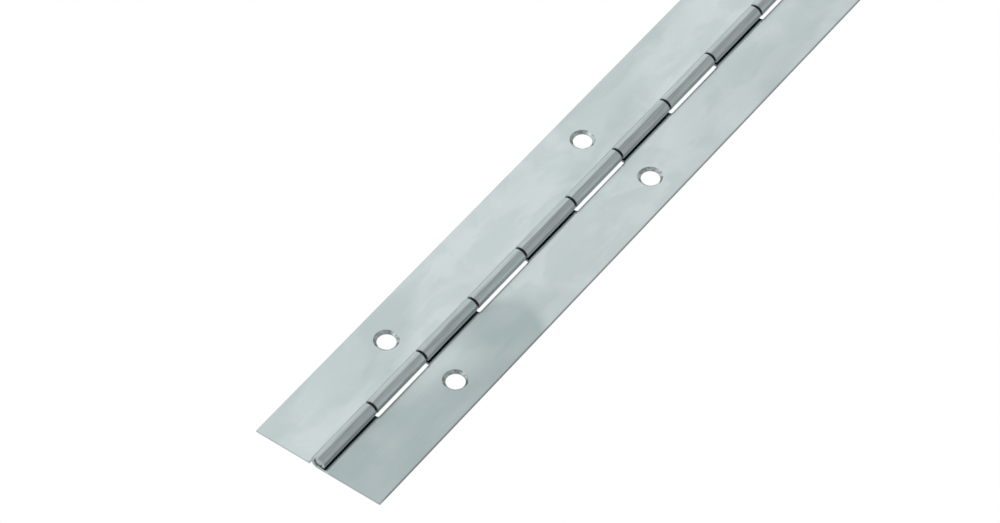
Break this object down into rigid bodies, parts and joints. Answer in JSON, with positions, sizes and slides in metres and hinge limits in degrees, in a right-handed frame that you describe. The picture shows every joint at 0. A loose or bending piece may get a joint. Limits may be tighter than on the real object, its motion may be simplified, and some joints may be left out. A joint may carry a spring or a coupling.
{
  "type": "piano hinge",
  "caption": "Continuous piano hinge: two long sheet-metal leaves with rolled knuckles on one full-length pin, with countersunk screw holes along both leaves.",
  "frame": {"origin": "on the mounting face below the middle of the pin: the centre of the bottom of the hinge's box when it lies open flat", "axes": "+X along the pin, +Z away from the mounting face towards the barrel and the countersinks, +Y towards the rear leaf, the one that turns"},
  "size_m": [0.28, 0.032, 0.0035],
  "materials": {
    "zinc_sheet": "satin",
    "pin_steel": "satin"
  },
  "bodies": {
    "front_leaf_body": {"front_leaf": "zinc_sheet", "hinge_pin": "pin_steel"},
    "rear_leaf_body": {"rear_leaf": "zinc_sheet"}
  },
  "joints": [
    {"name": "pin_joint", "type": "hinge", "parent": "front_leaf_body", "child": "rear_leaf_body", "pos_m": [0, 0, 0.00175], "axis": [1, 0, 0], "range_deg": [-95, 180]}
  ]
}
